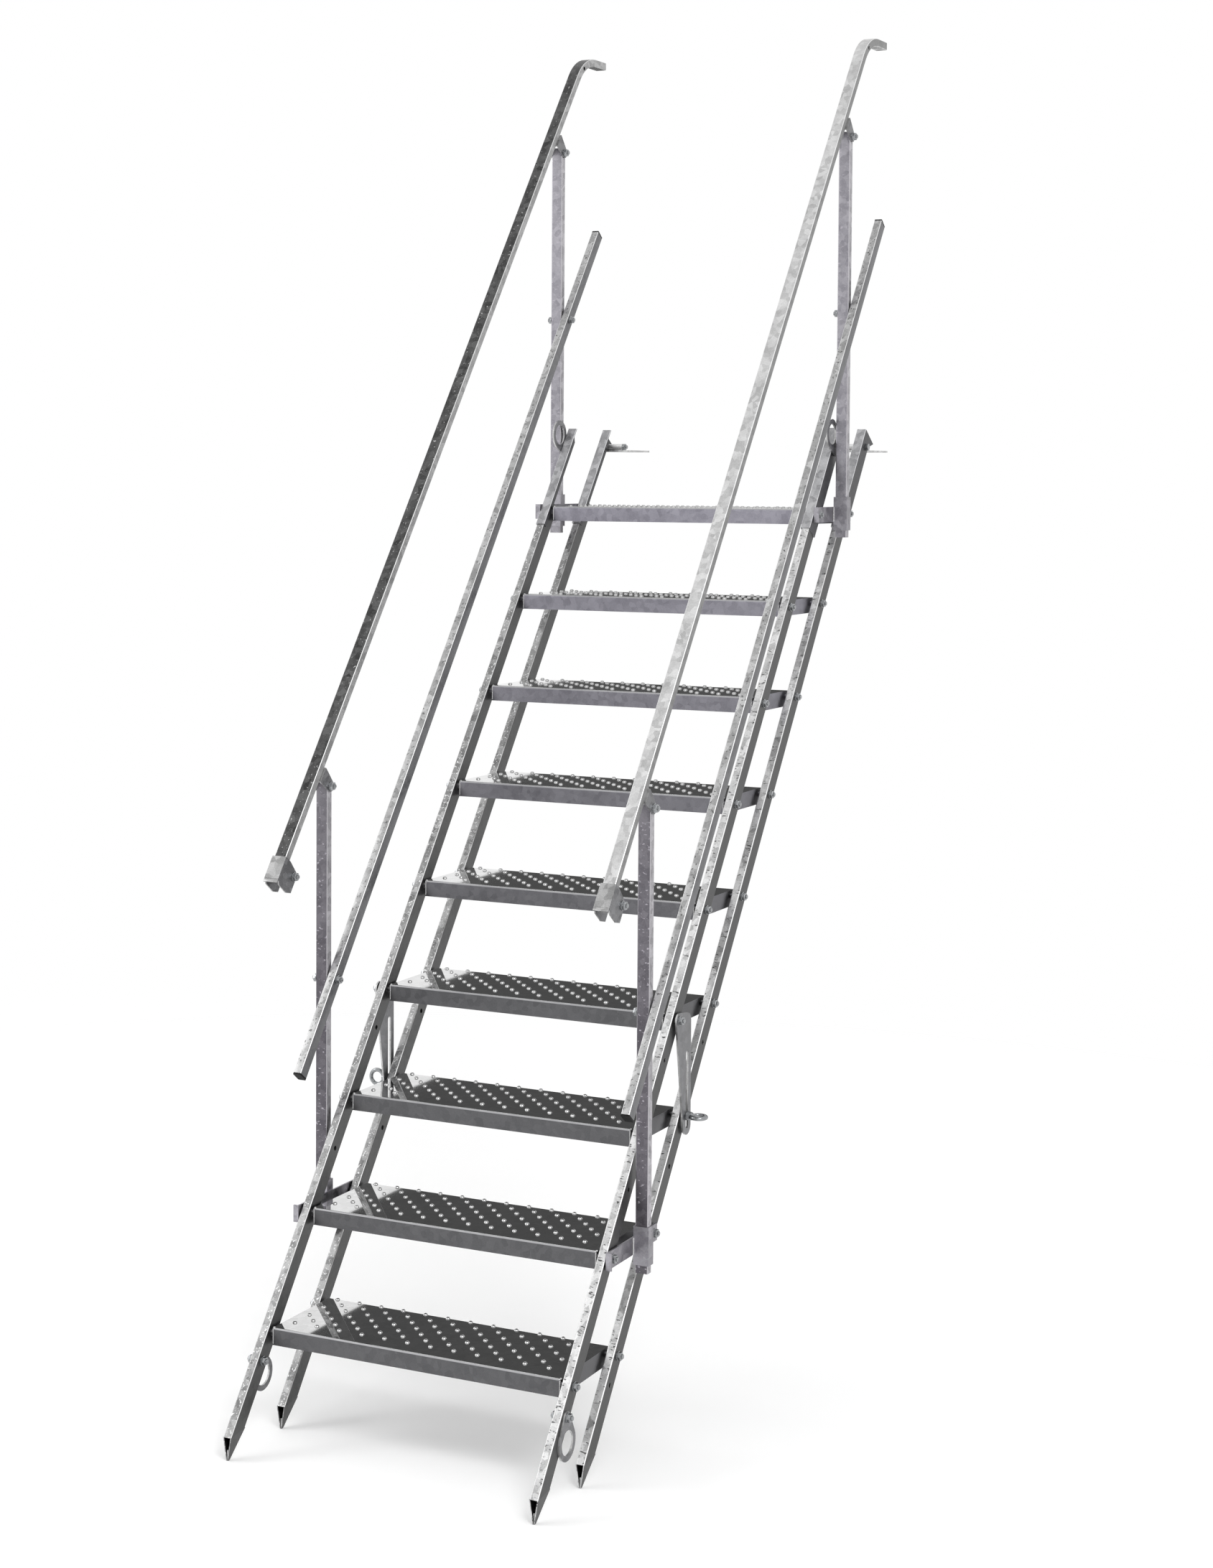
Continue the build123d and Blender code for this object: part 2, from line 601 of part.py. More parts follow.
# Struts: a tapered plate that hangs from its upper bolt, with a long slot over the lower bolt
STRUT_PIVOT = front_pivot(STRUT_TREAD_NUMBER)
LOCK_PIVOT = rear_pivot(STRUT_TREAD_NUMBER - 1)
SLOT_OFFSET = LOCK_PIVOT[0] - STRUT_PIVOT[0]
SLOT_CENTRE = STRUT_PIVOT[0] + SLOT_OFFSET
for side, sign in SIDES.items():
    with BuildPart() as strut:
        with BuildSketch(side_plane(side, STRUT_INSIDE)):
            with Locations(STRUT_PIVOT):
                Circle(STRUT_EYE)
            with Locations((SLOT_CENTRE, STRUT_PIVOT[1] - STRUT_SHOULDER_DROP)):
                Circle(STRUT_SHOULDER)
            with Locations((SLOT_CENTRE, STRUT_PIVOT[1] - SLOT_BOTTOM + SLOT_WIDTH / 2)):
                Circle(STRUT_FOOT)
            make_hull()
            with Locations((SLOT_CENTRE, STRUT_PIVOT[1] - (SLOT_TOP + SLOT_BOTTOM) / 2)):
                SlotOverall(SLOT_BOTTOM - SLOT_TOP, SLOT_WIDTH, rotation=90, mode=Mode.SUBTRACT)
        extrude(amount=sign * STRUT_THICKNESS)
        with BuildSketch(side_plane(side, STRUT_INSIDE)):
            with Locations(STRUT_PIVOT):
                Circle(SPACER_RADIUS)
        extrude(amount=-sign * (STRUT_STANDOFF - SEAT_GAP))
    finish(strut.part, f"strut_{side}")

    # Eye nut on the lock bolt, clear of the slot so that the strut can swing past
    ring_x = MIDDLE + sign * (STRUT_OUTSIDE + SEAT_GAP + EYE_NUT_HEIGHT + EYE_RING_OUTER - EYE_RING_SINK)
    ring_way = (0, 1, 0) if side == "left" else (0, 0, 1)
    with BuildPart() as eye_nut:
        with BuildSketch(side_plane(side, STRUT_OUTSIDE + SEAT_GAP)):
            with Locations(LOCK_PIVOT):
                Circle(EYE_NUT_RADIUS)
        extrude(amount=sign * EYE_NUT_HEIGHT)
        with BuildSketch(Plane(origin=(ring_x, *LOCK_PIVOT), x_dir=(1, 0, 0), z_dir=ring_way)):
            RegularPolygon(EYE_RING_OUTER, EYE_RING_SIDES)
            RegularPolygon(EYE_RING_OUTER - EYE_RING_SECTION, EYE_RING_SIDES, mode=Mode.SUBTRACT)
        extrude(amount=EYE_RING_SECTION / 2, both=True)
    finish(eye_nut.part, f"eye_nut_{side}")


# Lifting eyes: a plate ring with a neck that turns on a bolt through the stringer
def lifting_eye(side, bolt, angle, inside):
    sign = SIDES[side]
    centre = (bolt[0] + LIFT_REACH * cos(radians(angle)), bolt[1] + LIFT_REACH * sin(radians(angle)))
    with BuildPart() as eye:
        with BuildSketch(side_plane(side, inside + SEAT_GAP)):
            with Locations(bolt):
                Circle(LIFT_NECK_RADIUS)
            with Locations(centre):
                Circle(LIFT_OUTER_RADIUS)
            make_hull()
            with Locations(centre):
                Circle(LIFT_HOLE_RADIUS, mode=Mode.SUBTRACT)
        extrude(amount=sign * LIFT_THICKNESS)
    return eye.part


low_bolt = moved(front_pivot(1), -LOW_HOLE_BELOW)
high_bolt = moved(front_pivot(STEPS), LIFT_ABOVE)
for side, low_angle in (("left", LOW_LEFT_EYE_ANGLE), ("right", LOW_RIGHT_EYE_ANGLE)):
    finish(lifting_eye(side, low_bolt, low_angle, TUBE_OUTSIDE), f"lower_lifting_eye_{side}")
    finish(lifting_eye(side, high_bolt, HIGH_EYE_ANGLE, CHANNEL_OUTSIDE), f"upper_lifting_eye_{side}")
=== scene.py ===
from math import ceil, cos, pi, radians, sin

import bpy
from mathutils import Matrix, Vector


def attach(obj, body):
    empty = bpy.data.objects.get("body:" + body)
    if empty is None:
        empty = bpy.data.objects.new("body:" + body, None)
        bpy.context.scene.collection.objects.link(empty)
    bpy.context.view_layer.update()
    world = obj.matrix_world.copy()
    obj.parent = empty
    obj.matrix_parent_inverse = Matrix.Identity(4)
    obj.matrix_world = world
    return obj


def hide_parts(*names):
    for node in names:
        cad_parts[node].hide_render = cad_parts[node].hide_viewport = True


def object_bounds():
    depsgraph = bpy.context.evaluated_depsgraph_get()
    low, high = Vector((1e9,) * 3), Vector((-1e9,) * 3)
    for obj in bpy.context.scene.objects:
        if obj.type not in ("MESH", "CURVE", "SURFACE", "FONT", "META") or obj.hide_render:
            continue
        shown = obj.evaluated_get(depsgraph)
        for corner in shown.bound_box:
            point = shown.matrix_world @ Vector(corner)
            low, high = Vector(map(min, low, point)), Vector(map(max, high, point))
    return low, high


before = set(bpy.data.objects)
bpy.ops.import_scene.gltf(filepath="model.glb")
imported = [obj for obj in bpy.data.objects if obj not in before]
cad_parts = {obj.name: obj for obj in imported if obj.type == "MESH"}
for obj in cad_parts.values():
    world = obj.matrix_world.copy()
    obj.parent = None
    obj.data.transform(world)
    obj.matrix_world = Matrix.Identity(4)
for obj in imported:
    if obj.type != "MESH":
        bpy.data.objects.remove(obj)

cad_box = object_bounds()
MM = 0.001

# Treads: nine folded steel trays, hot-dip galvanised after welding. The top is pressed with rows of
# raised collars for grip, and a weld at each front corner closes it to the end plates.
STEPS = 9
STEP_SPACING = 280 * MM
PITCH = radians(52.7)
LEAN = (cos(PITCH), sin(PITCH))
FIRST_PIVOT = (-1794.6 * MM, -1941.0 * MM)
MIDDLE = 347.7 * MM
TREAD_END = 350 * MM
TREAD_TOP = 14 * MM
TREAD_FRONT = 11 * MM
TREAD_HEIGHT = 38 * MM
GRIP_START = (25 * MM, 52 * MM)
GRIP_PITCH = (28.35 * MM, 30.4 * MM)
GRIP_COLUMNS = 12
GRIP_ROWS = 4
GRIP_SIDES = 12
GRIP_BASE = 5.6 * MM
GRIP_SINK = 0.4 * MM
# A collar's rings, from its base up over the rim and down the pit: how each narrows, and its rise.
GRIP_RINGS = ((0.84, 2.0), (0.80, 1.3), (0.86, 0.2), (0.80, -0.5), (0.94, -2.6))
GRIP_PIT_SHADE_RADIUS = 2.7 * MM
SPANGLE = 14 * MM
BLOOM = 60 * MM
GRAIN = 3 * MM
SPANGLE_SHARE = 0.45
GRAIN_SHARE = 0.3
MOTTLE_RANGE = (0.34, 0.66)
HIGH_RANGE = (-1.2, 0.0)
# Painted shade and highlight: how far a face turns to the axis to take the flats' tone, and to take the
# edges' painted highlight tone.
SHADE_AND_ROUGHNESS_FACING = (0.84, 0.93)
RIM_HIGHLIGHT_FACING = (0.25, 0.5)
FLECK_EDGE = 0.07
ROUGHNESS_SPREAD = 0.08
ZINC_RELIEF = 0.3 * MM
SMOOTH_ANGLE = radians(35)


def front_pivot(step):
    """Where a tread's front bolt stands, as Y and Z."""
    along = (step - 1) * STEP_SPACING
    return (FIRST_PIVOT[0] + along * LEAN[0], FIRST_PIVOT[1] + along * LEAN[1])


def linear(hex_colour):
    """An sRGB hex colour as linear red, green, blue and alpha."""
    channels = [int(hex_colour[i:i + 2], 16) / 255 for i in (1, 3, 5)]
    return [c / 12.92 if c <= 0.04045 else ((c + 0.055) / 1.055) ** 2.4 for c in channels] + [1]


def add(tree, kind, inputs=(), **settings):
    """A node with its settings, each socket set to a value or linked from another node's socket."""
    made = tree.nodes.new("ShaderNode" + kind)
    for key, value in settings.items():
        setattr(made, key, value)
    for socket, value in dict(inputs).items():
        if isinstance(value, bpy.types.NodeSocket):
            tree.links.new(value, made.inputs[socket])
        else:
            made.inputs[socket].default_value = value
    return made


def new_material(name):
    """An empty material with its node tree and its surface shader."""
    made = bpy.data.materials.new(name)
    made.use_nodes = True
    return made, made.node_tree, made.node_tree.nodes["Principled BSDF"]


def stepped(tree, value, span):
    """A value that runs from 0 to 1 over a span, and stays there outside it."""
    inputs = {"Value": value, "From Min": span[0], "From Max": span[1]}
    return add(tree, "MapRange", inputs).outputs["Result"]


def galvanised(
    name,
    walls,
    flats,
    edge,
    axis="X",
    high=None,
    flecks=None,
    roughness=0.42,
    sheen=None,
    relief=0.25,
):
    """Hot-dip galvanised steel: zinc frozen into spangles about 14 mm wide, under clouds of dull bloom.

    walls and flats are the darkest and the lightest tone of the faces along an axis and square to it,
    and the step in tone between them is painted shade, set by which way a face turns. edge is a
    painted highlight on the rounded edges between them, high is the walls' two tones at the stair's
    top, and flecks are a colour, their size in millimetres and how much they cover.
    sheen is the roughness of the faces square to the axis, where it differs, and relief the bump.
    """
    made, tree, shader = new_material(name)
    place = add(tree, "TexCoord")
    spangle = add(tree, "TexVoronoi", {"Vector": place.outputs["Object"], "Scale": 1 / SPANGLE})
    cloud = add(
        tree, "TexNoise", {"Vector": place.outputs["Object"], "Scale": 1 / BLOOM, "Detail": 4}
    )
    grain = add(
        tree, "TexNoise", {"Vector": place.outputs["Object"], "Scale": 1 / GRAIN, "Detail": 3}
    )
    mottle = add(
        tree,
        "MixRGB",
        {
            "Fac": SPANGLE_SHARE,
            "Color1": cloud.outputs["Fac"],
            "Color2": spangle.outputs["Color"],
        },
    )
    mottle = add(
        tree,
        "MixRGB",
        {"Fac": GRAIN_SHARE, "Color1": mottle.outputs["Color"], "Color2": grain.outputs["Fac"]},
    )
    tone = stepped(tree, mottle.outputs["Color"], MOTTLE_RANGE)
    wall_tone = add(
        tree, "MixRGB", {"Fac": tone, "Color1": linear(walls[0]), "Color2": linear(walls[1])}
    ).outputs["Color"]
    if high:
        place_split = add(tree, "SeparateXYZ", {"Vector": place.outputs["Object"]})
        height = stepped(tree, place_split.outputs["Z"], HIGH_RANGE)
        high_tone = add(
            tree, "MixRGB", {"Fac": tone, "Color1": linear(high[0]), "Color2": linear(high[1])}
        )
        wall_tone = add(
            tree,
            "MixRGB",
            {"Fac": height, "Color1": wall_tone, "Color2": high_tone.outputs["Color"]},
        ).outputs["Color"]
    if flecks:
        fleck_colour, fleck_size, cover = flecks
        stretch = add(
            tree,
            "Mapping",
            {"Vector": place.outputs["Object"], "Scale": [1 / (size * MM) for size in fleck_size]},
        )
        fleck = add(
            tree, "TexNoise", {"Vector": stretch.outputs["Vector"], "Scale": 1, "Detail": 2}
        )
        fleck_mask = stepped(tree, fleck.outputs["Fac"], (1 - cover, 1 + FLECK_EDGE - cover))
        wall_tone = add(
            tree,
            "MixRGB",
            {"Fac": fleck_mask, "Color1": wall_tone, "Color2": linear(fleck_colour)},
        ).outputs["Color"]
    flat_tone = add(
        tree, "MixRGB", {"Fac": tone, "Color1": linear(flats[0]), "Color2": linear(flats[1])}
    )
    # Painted shade and highlight: each face takes the walls' or the flats' tone by which way it turns
    # to the axis, so the step between them stands for light and shade, and the rounded edges between
    # them take a painted highlight.
    facing = add(tree, "SeparateXYZ", {"Vector": place.outputs["Normal"]})
    facing = add(tree, "Math", {0: facing.outputs[axis]}, operation="ABSOLUTE").outputs["Value"]
    shade_and_roughness_mask = stepped(tree, facing, SHADE_AND_ROUGHNESS_FACING)
    rim_highlight_mask = stepped(tree, facing, RIM_HIGHLIGHT_FACING)
    rim_highlight_tone = add(
        tree, "MixRGB", {"Fac": rim_highlight_mask, "Color1": wall_tone, "Color2": linear(edge)}
    ).outputs["Color"]
    base = add(
        tree,
        "MixRGB",
        {"Fac": shade_and_roughness_mask, "Color1": rim_highlight_tone, "Color2": flat_tone.outputs["Color"]},
    )
    rough = add(
        tree,
        "MapRange",
        {
            "Value": tone,
            "To Min": roughness - ROUGHNESS_SPREAD,
            "To Max": roughness + ROUGHNESS_SPREAD,
        },
    )
    if sheen is not None:
        rough = add(
            tree,
            "MapRange",
            {"Value": shade_and_roughness_mask, "To Min": rough.outputs["Result"], "To Max": sheen},
        )
    bump = add(
        tree,
        "Bump",
        {"Height": mottle.outputs["Color"], "Strength": relief, "Distance": ZINC_RELIEF},
    )
    tree.links.new(base.outputs["Color"], shader.inputs["Base Color"])
    tree.links.new(rough.outputs["Result"], shader.inputs["Roughness"])
    tree.links.new(bump.outputs["Normal"], shader.inputs["Normal"])
    shader.inputs["Metallic"].default_value = 1
    return made


def dress(names, finish):
    """Gives CAD nodes a finish in place of the one that they came with."""
    for name in names:
        for material_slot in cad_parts[name].material_slots:
            material_slot.material = finish


def only(*chosen):
    """Selects these objects and nothing else, the last one active."""
    bpy.ops.object.select_all(action="DESELECT")
    for obj in chosen:
        obj.select_set(True)
        bpy.context.view_layer.objects.active = obj


def repeated(obj, count, offset):
    """Repeats a mesh in a straight row."""
    only(obj)
    bpy.ops.object.modifier_add(type="ARRAY")
    row = obj.modifiers[-1]
    row.use_relative_offset = False
    row.use_constant_offset = True
    row.constant_offset_displace = offset
    row.count = count
    bpy.ops.object.modifier_apply(modifier=row.name)


def copied(obj, way=(0, 0, 0)):
    """A copy with its own mesh, moved to its place."""
    only(obj)
    bpy.ops.object.duplicate(linked=False)
    made = bpy.context.object
    made.location = made.location + Vector(way)
    return made


def placed(obj, name, body, slot, *finishes):
    """Brings a finished piece's origin to the frame's, and names, paints and rides it."""
    only(obj)
    bpy.ops.object.transform_apply(location=True, rotation=True, scale=True)
    bpy.ops.object.shade_smooth_by_angle(angle=SMOOTH_ANGLE)
    obj.name = name
    obj.data.materials.clear()
    for finish in finishes:
        obj.data.materials.append(finish)
    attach(obj, body)


# Painted shade on the treads: the front skirts are toned darker than the tops by which way they face,
# and the rim between them carries a painted highlight.
tread_steel = galvanised(
    "hot_dip_galvanised_tread_plate",
    walls=("#5a5a5c", "#6a6a6c"),
    flats=("#d0d0d0", "#e0e0e0"),
    edge="#a8a8aa",
    axis="Z",
    high=("#8a8892", "#a4a2ac"),
    sheen=0.02,
    relief=0.0,
)
dress([f"tread_{step}" for step in range(1, STEPS + 1)], tread_steel)
# Painted shade on the collars: their sides and tops are toned apart by which way they face, with a
# painted highlight on the rims.
grip_steel = galvanised(
    "galvanised_pressed_collar",
    walls=("#6e6e6e", "#b4b4b4"),
    flats=("#a4a4a4", "#bebebe"),
    edge="#c0c0c0",
    axis="Z",
    roughness=0.3,
    sheen=0.08,
    relief=0.05,
)
# Painted shade: the collars' shallow pits are coloured near black, as if they were deep holes in shade.
grip_pit_shade = galvanised(
    "collar_pit_painted_shade",
    walls=("#1c1c1c", "#262626"),
    flats=("#141414", "#1e1e1e"),
    edge="#222222",
)

first_front = front_pivot(1)
grip_place = Vector((
    MIDDLE - TREAD_END + GRIP_START[0],
    first_front[0] - TREAD_FRONT + GRIP_START[1],
    first_front[1] + TREAD_TOP - GRIP_SINK,
))
bpy.ops.object.select_all(action="DESELECT")
bpy.ops.mesh.primitive_circle_add(vertices=GRIP_SIDES, radius=GRIP_BASE, location=grip_place)
even_grips = bpy.context.object
bpy.ops.object.mode_set(mode="EDIT")
bpy.ops.mesh.select_all(action="SELECT")
for narrowing, rise in GRIP_RINGS:
    bpy.ops.mesh.extrude_region_move(TRANSFORM_OT_translate={"value": (0, 0, rise * MM)})
    bpy.ops.transform.resize(value=(narrowing, narrowing, 1), center_override=grip_place)
bpy.ops.mesh.edge_face_add()
bpy.ops.mesh.select_all(action="SELECT")
bpy.ops.mesh.normals_make_consistent(inside=False)
bpy.ops.object.mode_set(mode="OBJECT")
even_grips.data.materials.append(grip_steel)
even_grips.data.materials.append(grip_pit_shade)
# Faces inside the pit's radius take the pit's painted shade.
for face in even_grips.data.polygons:
    flat_radius = Vector(face.center[:2]).length
    face.material_index = 1 if flat_radius < GRIP_PIT_SHADE_RADIUS else 0

odd_grips = copied(even_grips, (GRIP_PITCH[0], GRIP_PITCH[1], 0))
for grips, columns, rows in (
    (even_grips, GRIP_COLUMNS, GRIP_ROWS),
    (odd_grips, GRIP_COLUMNS - 1, GRIP_ROWS - 1),
):
    repeated(grips, columns, (2 * GRIP_PITCH[0], 0, 0))
    repeated(grips, rows, (0, 2 * GRIP_PITCH[1], 0))
only(odd_grips, even_grips)
bpy.ops.object.join()
grip_sheet = even_grips
for step in range(1, STEPS + 1):
    rise = [there - here for here, there in zip(first_front, front_pivot(step))]
    grips = copied(grip_sheet, (0, *rise))
    indices = [face.material_index for face in grips.data.polygons]
    placed(grips, f"tread_grip_{step}", f"step_{step}", "galvanised_steel", grip_steel, grip_pit_shade)
    grips.data.polygons.foreach_set("material_index", indices)
only(grip_sheet)
bpy.ops.object.delete()

# Tread corner welds: short runs of weld, laid as overlapping drops of molten steel and then zinc
# coated, that close each folded tray to its end plates at the front corners.
SIDES = (-1, 1)
BEAD_STEP = 2.2 * MM
BEAD_SIDES = 8
BEAD_RINGS = 6
ROUND_BEAD = (1, 1, 1)
FLAT_BEAD = (1, 1, 0.7)
CORNER_INSET = 1 * MM
SEAM_BEAD = (1, 0.8, 1)
SEAM_WIDTH = 3.4 * MM
SEAM_STANDS = 0.6 * MM
SEAM_TOP = 5 * MM
SEAM_BOTTOM = 4 * MM
# The thicker run over the corner: across, behind the front and below the top, at its start and end.
CORNER_WIDTH = 6 * MM
CORNER_START = (2 * MM, 3 * MM, 1.6 * MM)
CORNER_END = (6 * MM, 0.6 * MM)
# The welds' edge tone is a painted highlight on the bead faces that turn part way towards X.
weld_steel = galvanised(
    "galvanised_weld_bead",
    walls=("#8a8a8a", "#c4c4c4"),
    flats=("#8a8a8a", "#c4c4c4"),
    edge="#d4d4d4",
    roughness=0.35,
)


def bead(start, end, width, squash):
    """A run of weld from one point to another, a row of drops squashed along X, Y and Z."""
    start, end = Vector(start), Vector(end)
    count = max(2, round((end - start).length / BEAD_STEP))
    bpy.ops.object.select_all(action="DESELECT")
    bpy.ops.mesh.primitive_uv_sphere_add(
        segments=BEAD_SIDES, ring_count=BEAD_RINGS, radius=width / 2, location=start
    )
    drop = bpy.context.object
    bpy.ops.object.mode_set(mode="EDIT")
    bpy.ops.mesh.select_all(action="SELECT")
    bpy.ops.transform.resize(value=squash, center_override=start)
    bpy.ops.object.mode_set(mode="OBJECT")
    repeated(drop, count, (end - start) / (count - 1))
    return drop


def joined(parts):
    """One object from several."""
    only(*parts)
    bpy.ops.object.join()
    return bpy.context.object


for step in range(1, STEPS + 1):
    front_y, pivot_z = front_pivot(step)
    runs = []
    for s in SIDES:
        corner = MIDDLE + s * (TREAD_END - CORNER_INSET)
        top_z = pivot_z + TREAD_TOP
        runs.append(
            bead(
                (corner, front_y - TREAD_FRONT + SEAM_STANDS, top_z - SEAM_TOP),
                (corner, front_y - TREAD_FRONT + SEAM_STANDS, top_z - TREAD_HEIGHT + SEAM_BOTTOM),
                SEAM_WIDTH,
                SEAM_BEAD,
            )
        )
        runs.append(
            bead(
                (
                    corner - s * CORNER_START[0],
                    front_y - TREAD_FRONT + CORNER_START[1],
                    top_z - CORNER_START[2],
                ),
                (corner, front_y - TREAD_FRONT + CORNER_END[0], top_z - CORNER_END[1]),
                CORNER_WIDTH,
                FLAT_BEAD,
            )
        )
    placed(joined(runs), f"tread_welds_{step}", f"step_{step}", "galvanised_steel", weld_steel)

# Stringers and their channels: rectangular tube, 40 by 20 mm, cut and pinched at the feet, with
# folded channels over the tops, all hot-dip galvanised. The zinc lies in dull clouds and dark drain
# marks across the fronts, and is plain on the flanks. The flanks are painted darker than the fronts as
# shade, the right-hand stringers' fronts are painted lighter than the left-hand ones as a painted
# reflection, and the rounded edges carry a painted highlight.
left_stringer_shaded_steel = galvanised(
    "galvanised_tube_left_painted_shade",
    walls=("#6e6e6e", "#b2b2b2"),
    flats=("#4e4e4e", "#626262"),
    edge="#c4c4c4",
    flecks=("#e0e0e0", (5, 5, 5), 0.4),
)
right_stringer_lit_steel = galvanised(
    "galvanised_tube_right_painted_reflection",
    walls=("#a8a8a8", "#e2e2e2"),
    flats=("#4c4c4c", "#606060"),
    edge="#d8d8d8",
    flecks=("#4c4c4c", (14, 4, 4), 0.39),
)
channel_steel = galvanised(
    "hot_dip_galvanised_folded_channel",
    walls=("#8a8a8c", "#bcbcbe"),
    flats=("#444446", "#58585a"),
    edge="#d8d8da",
)
for side, finish in (("left", left_stringer_shaded_steel), ("right", right_stringer_lit_steel)):
    dress([f"front_stringer_{side}", f"rear_stringer_{side}"], finish)
    dress([f"front_channel_{side}", f"rear_channel_{side}"], channel_steel)

# The molten zinc drained into the feet's pinched tips, and froze there as a bright bead.
TUBE_CENTRE = 367 * MM
FOOT_FRONT = 245 * MM
HALF_TUBE = 20 * MM
FOOT_DROP = 50 * MM
DRAIN_DEPTH = 3 * MM
DRAIN_LOW = 5 * MM
DRAIN_HIGH = 21 * MM
DRAIN_WIDTH = 4.4 * MM
PIVOT_SPACING = 214 * MM


def rear_pivot(step):
    """Where a tread's rear bolt stands, as Y and Z."""
    y, z = front_pivot(step)
    return (y + PIVOT_SPACING, z)


def moved(point, along, across=0):
    """A point moved up along the stair's slope, and across it to the rear."""
    return (
        point[0] + along * LEAN[0] + across * LEAN[1],
        point[1] + along * LEAN[1] - across * LEAN[0],
    )


for row, pivot in (("front", front_pivot), ("rear", rear_pivot)):
    foot_y, foot_z = moved(pivot(1), -FOOT_FRONT, -HALF_TUBE)
    drains = []
    for s in SIDES:
        drain_x = MIDDLE + s * TUBE_CENTRE
        drains.append(
            bead(
                (drain_x, foot_y + DRAIN_DEPTH, foot_z - FOOT_DROP + DRAIN_LOW),
                (drain_x, foot_y + DRAIN_DEPTH, foot_z - FOOT_DROP + DRAIN_HIGH),
                DRAIN_WIDTH,
                ROUND_BEAD,
            )
        )
    placed(joined(drains), f"{row}_drain_zinc", f"{row}_stringers", "galvanised_steel", weld_steel)

# Pivot bolts: bright zinc plated, M10, with hexagon nuts, 17 mm across flats, and plain washers. Each
# thread's end stands out of its nut, and the lowest left one ends flush, clear of its lifting eye.
HEX_SIDES = 6
HEX_RADIUS = 9.8 * MM
HEX_CHAMFER = 0.9 * MM
NUT_HEIGHT = 7 * MM
WASHER_RADIUS = 10.5 * MM
WASHER_THICKNESS = 1.8 * MM
WASHER_CHAMFER = 0.4 * MM
DISC_SIDES = 24
THREAD_SIDES = 16
THREAD_RADIUS = 5 * MM
THREAD_PITCH = 1.2 * MM
THREAD_WIDTH = 1.0 * MM
THREAD_CHAMFER = 0.45 * MM
THREAD_DEPTH = 0.6 * MM
THREAD_STANDS = 3.2 * MM
TUBE_OUTSIDE = 377 * MM
BRACKET_OUTSIDE = 383.8 * MM
FLUSH_RADIUS = 5.4 * MM
FLUSH_HEIGHT = 2.6 * MM
FLUSH_SINK = 0.2 * MM
TURNING_MARK = 2 * MM

zinc, tree, shader = new_material("bright_zinc_plated_steel")
# Electroplated zinc is thin and even: a clean, slightly blue silver with fine turning marks.
place = add(tree, "TexCoord")
turning = add(
    tree, "TexNoise", {"Vector": place.outputs["Object"], "Scale": 1 / TURNING_MARK, "Detail": 3}
)
zinc_tone = add(
    tree,
    "MixRGB",
    {"Fac": turning.outputs["Fac"], "Color1": linear("#6a6c6e"), "Color2": linear("#b8babc")},
)
zinc_bump = add(
    tree, "Bump", {"Height": turning.outputs["Fac"], "Strength": 0.15, "Distance": 0.1 * MM}
)
tree.links.new(zinc_tone.outputs["Color"], shader.inputs["Base Color"])
tree.links.new(zinc_bump.outputs["Normal"], shader.inputs["Normal"])
shader.inputs["Metallic"].default_value = 1
shader.inputs["Roughness"].default_value = 0.24


def turned_disc(sides, radius, start, thickness, chamfer):
    """A washer, nut or bolt end on the X axis, its outer face's rim chamfered."""
    bpy.ops.object.select_all(action="DESELECT")
    bpy.ops.mesh.primitive_cylinder_add(
        vertices=sides,
        radius=radius,
        depth=thickness,
        location=(start + thickness / 2, 0, 0),
        rotation=(0, pi / 2, 0),
    )
    disc = bpy.context.object
    bpy.ops.object.transform_apply(location=True, rotation=True, scale=True)
    bpy.ops.object.mode_set(mode="EDIT")
    bpy.ops.mesh.select_all(action="DESELECT")
    bpy.ops.object.mode_set(mode="OBJECT")
    for face in disc.data.polygons:
        face.select = face.normal.x > 0.9
    bpy.ops.object.mode_set(mode="EDIT")
    bpy.ops.mesh.select_mode(type="FACE")
    bpy.ops.mesh.bevel(offset=chamfer, segments=2, affect="EDGES")
    bpy.ops.object.mode_set(mode="OBJECT")
    return disc


# A washer, a nut and a thread's end of single rings on a core, all standing out along the X axis.
thread_start = WASHER_THICKNESS + NUT_HEIGHT
nut_parts = [
    turned_disc(DISC_SIDES, WASHER_RADIUS, 0, WASHER_THICKNESS, WASHER_CHAMFER),
    turned_disc(HEX_SIDES, HEX_RADIUS, WASHER_THICKNESS, NUT_HEIGHT, HEX_CHAMFER),
]
for ring in range(ceil(THREAD_STANDS / THREAD_PITCH)):
    ring_start = thread_start + ring * THREAD_PITCH
    nut_parts.append(
        turned_disc(THREAD_SIDES, THREAD_RADIUS, ring_start, THREAD_WIDTH, THREAD_CHAMFER)
    )
nut_parts.append(
    turned_disc(THREAD_SIDES, THREAD_RADIUS - THREAD_DEPTH, thread_start, THREAD_STANDS, THREAD_DEPTH)
)
nut_end = joined(nut_parts)
flush_end = turned_disc(
    DISC_SIDES, FLUSH_RADIUS, -FLUSH_HEIGHT, FLUSH_HEIGHT - FLUSH_SINK, WASHER_CHAMFER
)


def bolts(name, body, places, end=nut_end):
    """Bolt ends at places given as X, the Y and Z pair, and the way they stand out."""
    parts = []
    for x, (y, z), way in places:
        part = copied(end)
        if way < 0:
            bpy.ops.object.mode_set(mode="EDIT")
            bpy.ops.mesh.select_all(action="SELECT")
            bpy.ops.transform.rotate(value=pi, orient_axis="Z", center_override=(0, 0, 0))
            bpy.ops.object.mode_set(mode="OBJECT")
        part.location = (x, y, z)
        parts.append(part)
    placed(joined(parts), name, body, "zinc_plated_steel", zinc)


